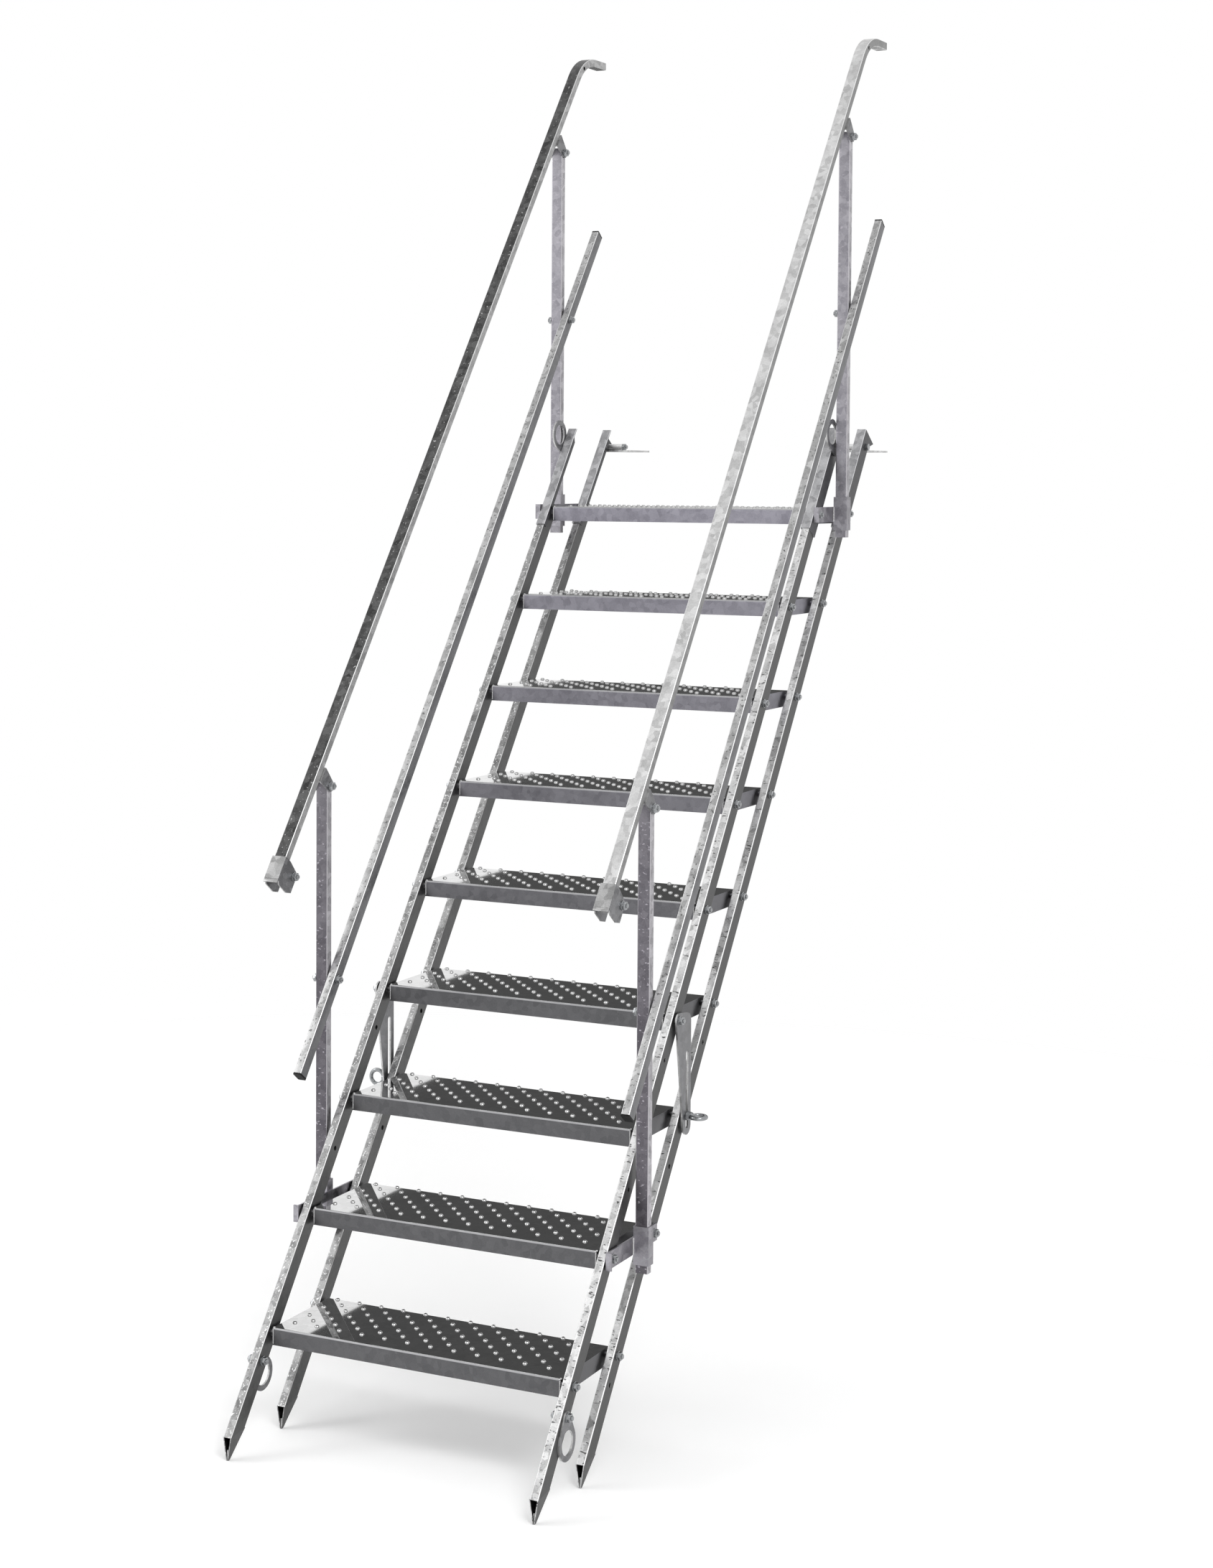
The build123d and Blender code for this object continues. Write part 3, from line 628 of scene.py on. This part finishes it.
PLAIN_FRONT_STEPS = (1, 3, 5, 6, 7, 8)
PLAIN_REAR_STEPS = (1, 4, 5, 6, 7, 8)
BRACKET_STEPS = (2, 9)
FLUSH_BOLT = (-1, 1)
bolts(
    "front_pivot_bolts",
    "front_stringers",
    [
        (MIDDLE + s * TUBE_OUTSIDE, front_pivot(step), s)
        for s in SIDES
        for step in PLAIN_FRONT_STEPS
        if (s, step) != FLUSH_BOLT
    ],
)
bolts(
    "lowest_left_bolt",
    "front_stringers",
    [(MIDDLE + FLUSH_BOLT[0] * TUBE_OUTSIDE, front_pivot(FLUSH_BOLT[1]), FLUSH_BOLT[0])],
    flush_end,
)
bolts(
    "rear_pivot_bolts",
    "rear_stringers",
    [(MIDDLE + s * TUBE_OUTSIDE, rear_pivot(step), s) for s in SIDES for step in PLAIN_REAR_STEPS],
)
for step in BRACKET_STEPS:
    bolts(
        f"bracket_bolts_{step}",
        f"step_{step}",
        [
            (MIDDLE + s * BRACKET_OUTSIDE, pivot(step), s)
            for s in SIDES
            for pivot in (front_pivot, rear_pivot)
        ],
    )

# Struts: tapered steel plates with a long slot, galvanised, that hang from the fourth tread's front
# bolts. Each has a nut and washer on its upper bolt.
STRUT_OUTSIDE = 386 * MM
STRUT_STEP = 4
# Painted shade on the struts: faces are toned lighter or darker by which way they face, with a painted
# highlight on the edges.
strut_steel = galvanised(
    "hot_dip_galvanised_strut_plate",
    walls=("#a0a0a0", "#d0d0d0"),
    flats=("#6e6e70", "#8c8c8e"),
    edge="#d8d8d8",
)
dress(["strut_left", "strut_right"], strut_steel)
bolts(
    "strut_bolts",
    "struts",
    [(MIDDLE + s * STRUT_OUTSIDE, front_pivot(STRUT_STEP), s) for s in SIDES],
)

# Eye nuts: forged and zinc plated, on the bolts in the struts' slots, and tightened by hand to lock
# the stair's pitch. A round boss flows into a ring of round bar.
EYE_SEAT = 386.3 * MM
EYE_BOSS_RADIUS = 11.5 * MM
EYE_BOSS_HEIGHT = 13 * MM
EYE_BOSS_TAPER = 0.78
EYE_RING_MIDDLE = 28 * MM
EYE_RING_RADIUS = 17 * MM
EYE_RING_SECTION = 4.8 * MM
EYE_VOXEL = 0.9 * MM
for side, sign in (("left", -1), ("right", 1)):
    lock_y, lock_z = rear_pivot(STRUT_STEP - 1)
    boss_x = MIDDLE + sign * (EYE_SEAT + EYE_BOSS_HEIGHT / 2)
    ring_x = MIDDLE + sign * (EYE_SEAT + EYE_RING_MIDDLE)
    turned_way = (pi / 2, 0, 0) if side == "left" else (0, 0, 0)
    bpy.ops.object.select_all(action="DESELECT")
    bpy.ops.mesh.primitive_torus_add(
        major_radius=EYE_RING_RADIUS,
        minor_radius=EYE_RING_SECTION,
        major_segments=48,
        minor_segments=14,
        location=(ring_x, lock_y, lock_z),
        rotation=turned_way,
    )
    ring = bpy.context.object
    bpy.ops.mesh.primitive_cone_add(
        vertices=36,
        radius1=EYE_BOSS_RADIUS,
        radius2=EYE_BOSS_RADIUS * EYE_BOSS_TAPER,
        depth=EYE_BOSS_HEIGHT,
        location=(boss_x, lock_y, lock_z),
        rotation=(0, sign * pi / 2, 0),
    )
    eye = joined([ring, bpy.context.object])
    bpy.ops.object.transform_apply(location=True, rotation=True, scale=True)
    bpy.ops.object.modifier_add(type="REMESH")
    forge = eye.modifiers[-1]
    forge.mode = "VOXEL"
    forge.voxel_size = EYE_VOXEL
    bpy.ops.object.modifier_apply(modifier=forge.name)
    bpy.ops.object.modifier_add(type="SMOOTH")
    fettle = eye.modifiers[-1]
    fettle.iterations = 4
    bpy.ops.object.modifier_apply(modifier=fettle.name)
    placed(eye, f"forged_eye_nut_{side}", "rear_stringers", "zinc_plated_steel", zinc)
    only(eye)
    bpy.ops.object.shade_smooth()
    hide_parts(f"eye_nut_{side}")

# Posts, brackets and collars: upright rectangular tube in collars welded to flat brackets, all
# hot-dip galvanised. The tube's fronts are a plain purple grey, and each collar's sides are welded.
POST_BACK = 116 * MM
COLLAR_HALF = 12.9 * MM
BRACKET_HALF = 19 * MM
COLLAR_WELD_WIDTH = 5 * MM
COLLAR_WELD_STANDS = 0.6 * MM
COLLAR_WELD_INSET = 2 * MM
# Painted shade on the posts and brackets: faces are toned lighter or darker by which way they face, the
# posts' fronts darker than their flanks, with a painted highlight on the edges.
post_steel = galvanised(
    "hot_dip_galvanised_post_tube",
    walls=("#5a575d", "#757278"),
    flats=("#8a888c", "#c2c0c4"),
    edge="#b8b6ba",
    high=("#8a888f", "#a8a6ac"),
    flecks=("#b0acb4", (9, 5, 5), 0.37),
)
bracket_steel = galvanised(
    "hot_dip_galvanised_bracket_plate",
    walls=("#8c8a90", "#b2b0b6"),
    flats=("#7c7a7f", "#a4a2a7"),
    edge="#c8c6ca",
)
for level in ("lower", "upper"):
    dress([f"{level}_post_left", f"{level}_post_right"], post_steel)
    dress([f"{level}_bracket_left", f"{level}_bracket_right"], bracket_steel)
for step in BRACKET_STEPS:
    pivot_y, pivot_z = front_pivot(step)
    runs = []
    for s in SIDES:
        for edge_way in (-1, 1):
            weld_y = pivot_y + POST_BACK + edge_way * (COLLAR_HALF + COLLAR_WELD_STANDS)
            weld_x = MIDDLE + s * (BRACKET_OUTSIDE + COLLAR_WELD_STANDS)
            runs.append(
                bead(
                    (weld_x, weld_y, pivot_z - BRACKET_HALF + COLLAR_WELD_INSET),
                    (weld_x, weld_y, pivot_z + BRACKET_HALF - COLLAR_WELD_INSET),
                    COLLAR_WELD_WIDTH,
                    FLAT_BEAD,
                )
            )
    placed(joined(runs), f"collar_welds_{step}", f"step_{step}", "galvanised_steel", weld_steel)

# Handrails, clips and sockets: galvanised rectangular tube bent over at the top, with plate clips
# welded behind it that hinge on the posts, and a folded socket with a cross bolt at the foot. The left
# rail is mottled and its fronts are painted dark as shade, while the right rail's fronts are painted
# light as a painted reflection. The faces of the rails, clips and sockets are toned by which way they
# face, as painted shade, with a painted highlight on the rounded edges.
POST_PIVOT = 947 * MM
POST_INSIDE = 386.7 * MM
POST_OUTSIDE = 416.7 * MM
CLIP_CHEEK = 3.4 * MM
SOCKET_SHEET = 3 * MM
SOCKET_BOLT = (-243 * MM, -12 * MM)
SOCKET_FRONT = (-279 * MM, -65.5 * MM)
SOCKET_LIP = 9 * MM
SOCKET_CORNER = 1 * MM
RAIL_BACK = 44 * MM
CLIP_BELOW = 16 * MM
CLIP_ABOVE = 22 * MM
CLIP_WELD_WIDTH = 4 * MM
CLIP_WELD_INSET = 2 * MM
left_rail_shaded_steel = galvanised(
    "galvanised_handrail_left_painted_shade",
    walls=("#3a3a3a", "#666666"),
    flats=("#8a8a8a", "#b8b8b8"),
    edge="#dadada",
    flecks=("#d0d0d0", (5, 5, 5), 0.33),
)
right_rail_lit_steel = galvanised(
    "galvanised_handrail_right_painted_reflection",
    walls=("#b0b0b0", "#dadada"),
    flats=("#7c7c7c", "#9c9c9c"),
    edge="#e6e6e6",
)
fitting_steel = galvanised(
    "hot_dip_galvanised_rail_fittings",
    walls=("#8c8c8c", "#bababa"),
    flats=("#606062", "#8c8c8e"),
    edge="#d0d0d0",
)
dress(["handrail_left"], left_rail_shaded_steel)
dress(["handrail_right"], right_rail_lit_steel)
dress(["handrail_clips", "handrail_sockets"], fitting_steel)


def rail_pivot(step):
    """Where the handrails turn on a tread's posts, as Y and Z."""
    y, z = front_pivot(step)
    return (y + POST_BACK, z + POST_PIVOT)


def slope_block(x, point, size):
    """A sharp-edged block that lies along the slope, its middle at X and a Y and Z point."""
    bpy.ops.object.select_all(action="DESELECT")
    bpy.ops.mesh.primitive_cube_add(
        size=1, location=(x, *point), rotation=(PITCH, 0, 0), scale=size
    )
    bpy.ops.object.transform_apply(location=False, rotation=False, scale=True)
    return bpy.context.object


rail_places = []
for s in SIDES:
    for step in BRACKET_STEPS:
        rail_places.append((MIDDLE + s * (POST_OUTSIDE + CLIP_CHEEK), rail_pivot(step), s))
        rail_places.append((MIDDLE + s * (POST_INSIDE - CLIP_CHEEK), rail_pivot(step), -s))
    socket_place = moved(rail_pivot(BRACKET_STEPS[0]), *SOCKET_BOLT)
    rail_places.append((MIDDLE + s * (POST_OUTSIDE + SOCKET_SHEET), socket_place, s))
    rail_places.append((MIDDLE + s * (POST_INSIDE - SOCKET_SHEET), socket_place, -s))
bolts("handrail_bolts", "handrails", rail_places)
lips = []
for s in SIDES:
    lip = slope_block(
        MIDDLE + s * (POST_INSIDE + POST_OUTSIDE) / 2,
        moved(rail_pivot(BRACKET_STEPS[0]), SOCKET_FRONT[0] - SOCKET_LIP / 2, SOCKET_FRONT[1]),
        (POST_OUTSIDE - POST_INSIDE + 2 * SOCKET_SHEET, SOCKET_LIP, SOCKET_SHEET),
    )
    bpy.ops.object.mode_set(mode="EDIT")
    bpy.ops.mesh.select_all(action="SELECT")
    bpy.ops.mesh.bevel(offset=SOCKET_CORNER, segments=2, affect="EDGES")
    bpy.ops.object.mode_set(mode="OBJECT")
    lips.append(lip)
placed(joined(lips), "socket_lips", "handrails", "galvanised_steel", fitting_steel)
runs = []
for s in SIDES:
    for step in BRACKET_STEPS:
        for along in (-CLIP_BELOW, CLIP_ABOVE):
            weld_y, weld_z = moved(rail_pivot(step), along, -RAIL_BACK)
            runs.append(
                bead(
                    (MIDDLE + s * (POST_INSIDE + CLIP_WELD_INSET), weld_y, weld_z),
                    (MIDDLE + s * (POST_OUTSIDE - CLIP_WELD_INSET), weld_y, weld_z),
                    CLIP_WELD_WIDTH,
                    ROUND_BEAD,
                )
            )
placed(joined(runs), "clip_welds", "handrails", "galvanised_steel", weld_steel)

# Middle rails: galvanised rectangular tube, 20 by 30 mm, bolted on edge to the right-hand face of the
# posts over a washer, with a cap of black moulded polyethylene pressed into each end.
MID_PIVOT = 506 * MM
MID_RAIL_WIDTH = 20 * MM
MID_RAIL_DEPTH = 30 * MM
MID_RAIL_BELOW = 241 * MM
MID_RAIL_ABOVE = 2258 * MM
MID_RAIL_CORNER = 2.5 * MM
MID_CAP = 4 * MM
MID_WASHER_RADIUS = 9 * MM
MID_WASHER = 2 * MM
MID_WASHER_CHAMFER = 0.3 * MM
CAP_DIMPLE = 1.5 * MM
MID_GAP = 2.4 * MM
# Painted shade on the middle rails: their flanks are toned darker than their fronts, with a painted
# highlight on the rounded edges.
mid_rail_steel = galvanised(
    "hot_dip_galvanised_middle_rail_tube",
    walls=("#949494", "#c8c8c8"),
    flats=("#68686a", "#808082"),
    edge="#e2e2e2",
    flecks=("#6c6c6c", (6, 6, 6), 0.4),
)
cap_plastic, tree, shader = new_material("black_moulded_polyethylene")
# Moulded plastic has a fine dimpled skin that spreads the light into a soft grey sheen.
place = add(tree, "TexCoord")
skin = add(
    tree, "TexNoise", {"Vector": place.outputs["Object"], "Scale": 1 / CAP_DIMPLE, "Detail": 2}
)
cap_tone = add(
    tree,
    "MixRGB",
    {"Fac": skin.outputs["Fac"], "Color1": linear("#060606"), "Color2": linear("#101010")},
)
cap_bump = add(
    tree, "Bump", {"Height": skin.outputs["Fac"], "Strength": 0.3, "Distance": 0.1 * MM}
)
tree.links.new(cap_tone.outputs["Color"], shader.inputs["Base Color"])
tree.links.new(cap_bump.outputs["Normal"], shader.inputs["Normal"])
shader.inputs["Roughness"].default_value = 0.6
shader.inputs["Specular IOR Level"].default_value = 0.2


def mid_pivot(step):
    """Where the middle rails turn on a tread's posts, as Y and Z."""
    y, z = front_pivot(step)
    return (y + POST_BACK, z + MID_PIVOT)


def slope_bar(x, low, high):
    """A rail's length with rounded long edges, from low to high of its lower pivot on the slope."""
    middle = moved(mid_pivot(BRACKET_STEPS[0]), (low + high) / 2)
    bar = slope_block(x, middle, (MID_RAIL_WIDTH, high - low, MID_RAIL_DEPTH))
    bpy.ops.object.mode_set(mode="EDIT")
    bpy.ops.mesh.select_mode(type="EDGE")
    bpy.ops.mesh.select_all(action="DESELECT")
    bpy.ops.object.mode_set(mode="OBJECT")
    for edge in bar.data.edges:
        start, end = (bar.data.vertices[index].co for index in edge.vertices)
        edge.select = abs((end - start).y) > (high - low) / 2
    bpy.ops.object.mode_set(mode="EDIT")
    bpy.ops.mesh.bevel(offset=MID_RAIL_CORNER, segments=4, affect="EDGES")
    bpy.ops.object.mode_set(mode="OBJECT")
    return bar


mid_washer = turned_disc(
    DISC_SIDES, MID_WASHER_RADIUS, -MID_WASHER, MID_WASHER, MID_WASHER_CHAMFER
)
caps = []
for side, post_x in (("left", MIDDLE - POST_INSIDE), ("right", MIDDLE + POST_OUTSIDE)):
    rail_x = post_x + MID_GAP + MID_RAIL_WIDTH / 2
    parts = [slope_bar(rail_x, -MID_RAIL_BELOW, MID_RAIL_ABOVE)]
    for step in BRACKET_STEPS:
        parts.append(copied(mid_washer, (post_x + MID_GAP, *mid_pivot(step))))
    middle_rail = joined(parts)
    placed(middle_rail, f"middle_rail_{side}", "mid_rails", "galvanised_steel", mid_rail_steel)
    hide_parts(f"mid_rail_{side}")
    caps.append(slope_bar(rail_x, -MID_RAIL_BELOW - MID_CAP, -MID_RAIL_BELOW))
    caps.append(slope_bar(rail_x, MID_RAIL_ABOVE, MID_RAIL_ABOVE + MID_CAP))
end_caps = joined(caps)
placed(end_caps, "middle_rail_caps", "mid_rails", "black_plastic", cap_plastic)
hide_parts("mid_rail_caps")

mid_left_x = MIDDLE - POST_INSIDE + MID_GAP + MID_RAIL_WIDTH
mid_places = []
for step in BRACKET_STEPS:
    mid_places.append((mid_left_x, mid_pivot(step), 1))
    mid_places.append((MIDDLE - POST_OUTSIDE, mid_pivot(step), -1))
    mid_places.append((MIDDLE + POST_INSIDE, mid_pivot(step), -1))
bolts("middle_rail_bolts", "mid_rails", mid_places)

# Lifting eyes: rings cut from galvanised plate, each on a bolt through the stringer, so that a crane
# can lift the stair. The lower bolts have a nut at both ends, and the upper ones only on the inside.
LIFT_BELOW = 65 * MM
LIFT_ABOVE = 200 * MM
LIFT_SEAT = 4.3 * MM
TUBE_INSIDE = 357 * MM
# Painted shade on the lifting eyes: their flat faces are toned darker than their rims, with a painted
# highlight on the edges.
eye_steel = galvanised(
    "hot_dip_galvanised_lifting_plate",
    walls=("#9c9c9c", "#d4d4d4"),
    flats=("#6a6a6c", "#8e8e90"),
    edge="#d8d8d8",
)
for level in ("lower", "upper"):
    dress([f"{level}_lifting_eye_left", f"{level}_lifting_eye_right"], eye_steel)
low_bolt = moved(front_pivot(1), -LIFT_BELOW)
high_bolt = moved(front_pivot(STEPS), LIFT_ABOVE)
bolts(
    "lower_eye_bolts",
    "front_stringers",
    [(MIDDLE + s * (TUBE_OUTSIDE + LIFT_SEAT), low_bolt, s) for s in SIDES]
    + [(MIDDLE + s * TUBE_INSIDE, low_bolt, -s) for s in SIDES],
)
bolts(
    "upper_eye_bolts",
    "front_stringers",
    [(MIDDLE + s * TUBE_OUTSIDE, high_bolt, -s) for s in SIDES],
)

# Landing feet: flat steel feet, hot-dip galvanised, each with a barrel that turns on a bright zinc
# plated bolt through the rear channels.
# Painted shade on the feet: their tops and undersides are toned darker than their sides, with a painted
# highlight on the edges.
foot_steel = galvanised(
    "hot_dip_galvanised_landing_foot",
    walls=("#a8a8a8", "#d8d8d8"),
    flats=("#9c9c9c", "#c4c4c4"),
    edge="#e0e0e0",
    axis="Z",
)
dress(["landing_foot_left", "landing_foot_right"], foot_steel)
dress(["landing_bolts"], zinc)

# The loose nut, bolt end and washer that the others were copied from are cleared away.
for template in (nut_end, flush_end, mid_washer):
    only(template)
    bpy.ops.object.delete()

# Floor, camera and light: a plain pale floor under the lower feet that fades into a white backdrop,
# two soft boxes, and the photograph's viewpoint.
FLOOR_SIZE = 14
FLOOR_CLEAR = 3.0
FLOOR_FADE = 5.5
WHITE = (1, 1, 1, 1)
floor_paint, tree, shader = new_material("pale_studio_floor")
place = add(tree, "TexCoord")
reach = add(tree, "VectorMath", {0: place.outputs["Object"]}, operation="LENGTH")
fade = add(
    tree,
    "MapRange",
    {"Value": reach.outputs["Value"], "From Min": FLOOR_CLEAR, "From Max": FLOOR_FADE},
    interpolation_type="SMOOTHSTEP",
)
clear = add(tree, "BsdfTransparent")
blend = add(
    tree,
    "MixShader",
    {0: fade.outputs["Result"], 1: shader.outputs["BSDF"], 2: clear.outputs["BSDF"]},
)
tree.links.new(blend.outputs["Shader"], tree.nodes["Material Output"].inputs["Surface"])
shader.inputs["Base Color"].default_value = linear("#fcfcfc")
shader.inputs["Roughness"].default_value = 0.9
bpy.ops.object.select_all(action="DESELECT")
bpy.ops.mesh.primitive_plane_add(
    size=FLOOR_SIZE, location=(MIDDLE, FIRST_PIVOT[0], cad_box[0][2])
)
floor = bpy.context.object
floor.name = "studio_floor"
floor.data.materials.append(floor_paint)

# A grey flag, level with the camera and behind the stair, is seen only as a reflection: it darkens
# the bright treads, and leaves their left ends to mirror the white backdrop.
FLAG_LEFT = -2.87
FLAG_RIGHT = 1.6
FLAG_FRONT = 2.3
FLAG_BACK = 8.0
FLAG_LEVEL = -0.057
FLAG_GLOW = 0.085
flag_cloth, tree, shader = new_material("grey_studio_flag")
glow = add(tree, "Emission", {"Color": WHITE, "Strength": FLAG_GLOW})
tree.links.new(glow.outputs["Emission"], tree.nodes["Material Output"].inputs["Surface"])
bpy.ops.object.select_all(action="DESELECT")
bpy.ops.mesh.primitive_plane_add(
    size=1,
    location=((FLAG_LEFT + FLAG_RIGHT) / 2, (FLAG_FRONT + FLAG_BACK) / 2, FLAG_LEVEL),
)
flag = bpy.context.object
flag.scale = (FLAG_RIGHT - FLAG_LEFT, FLAG_BACK - FLAG_FRONT, 1)
flag.name = "studio_flag"
flag.data.materials.append(flag_cloth)
flag.visible_camera = False
flag.visible_diffuse = False
flag.visible_shadow = False
flag.visible_transmission = False

world = bpy.data.worlds.new("white_studio")
world.use_nodes = True
bpy.context.scene.world = world
tree = world.node_tree
path = add(tree, "LightPath")
shown = add(
    tree,
    "Math",
    {0: path.outputs["Is Camera Ray"], 1: path.outputs["Is Glossy Ray"]},
    operation="MAXIMUM",
)
shown = add(
    tree,
    "Math",
    {0: shown.outputs["Value"], 1: path.outputs["Is Transmission Ray"]},
    operation="MAXIMUM",
)
AMBIENT = 0.95
STAIR_MIDDLE = (MIDDLE, -0.9, -0.6)
strength = add(
    tree, "MapRange", {"Value": shown.outputs["Value"], "To Min": AMBIENT, "To Max": 1}
)
backdrop = tree.nodes["Background"]
backdrop.inputs["Color"].default_value = WHITE
tree.links.new(strength.outputs["Result"], backdrop.inputs["Strength"])


def soft_light(name, place, size, power):
    """A rectangular soft box that looks at the stair's middle, its size in metres, power in watts."""
    way = Vector(STAIR_MIDDLE) - Vector(place)
    turn = way.to_track_quat("-Z", "Y").to_euler()
    bpy.ops.object.light_add(type="AREA", location=place, rotation=turn)
    lamp = bpy.context.object
    lamp.name = name
    lamp.data.shape = "RECTANGLE"
    lamp.data.size = size[0]
    lamp.data.size_y = size[1]
    lamp.data.energy = power


soft_light("key_soft_box", place=(4.5, -5.0, 4.0), size=(2.5, 2.5), power=160)
soft_light("left_soft_box", place=(-5.0, -4.0, 2.0), size=(2.0, 3.0), power=90)

CAMERA_PLACE = (3.0480, -6.6123, -0.0572)
CAMERA_AZIMUTH = radians(27.075)
CAMERA_PITCH = radians(-2.589)
CAMERA_ROLL = radians(0.294)
SENSOR_MM = 36
LENS_MM = 60.39
LENS_SHIFT = (0.0563, -0.1229)
bpy.ops.object.camera_add(location=CAMERA_PLACE)
camera = bpy.context.object
camera.matrix_world = (
    Matrix.Translation(CAMERA_PLACE)
    @ Matrix.Rotation(CAMERA_AZIMUTH, 4, "Z")
    @ Matrix.Rotation(pi / 2 + CAMERA_PITCH, 4, "X")
    @ Matrix.Rotation(CAMERA_ROLL, 4, "Z")
)
camera.data.sensor_width = SENSOR_MM
camera.data.lens = LENS_MM
camera.data.shift_x, camera.data.shift_y = LENS_SHIFT
bpy.context.scene.camera = camera
bpy.context.scene.view_settings.view_transform = "Standard"
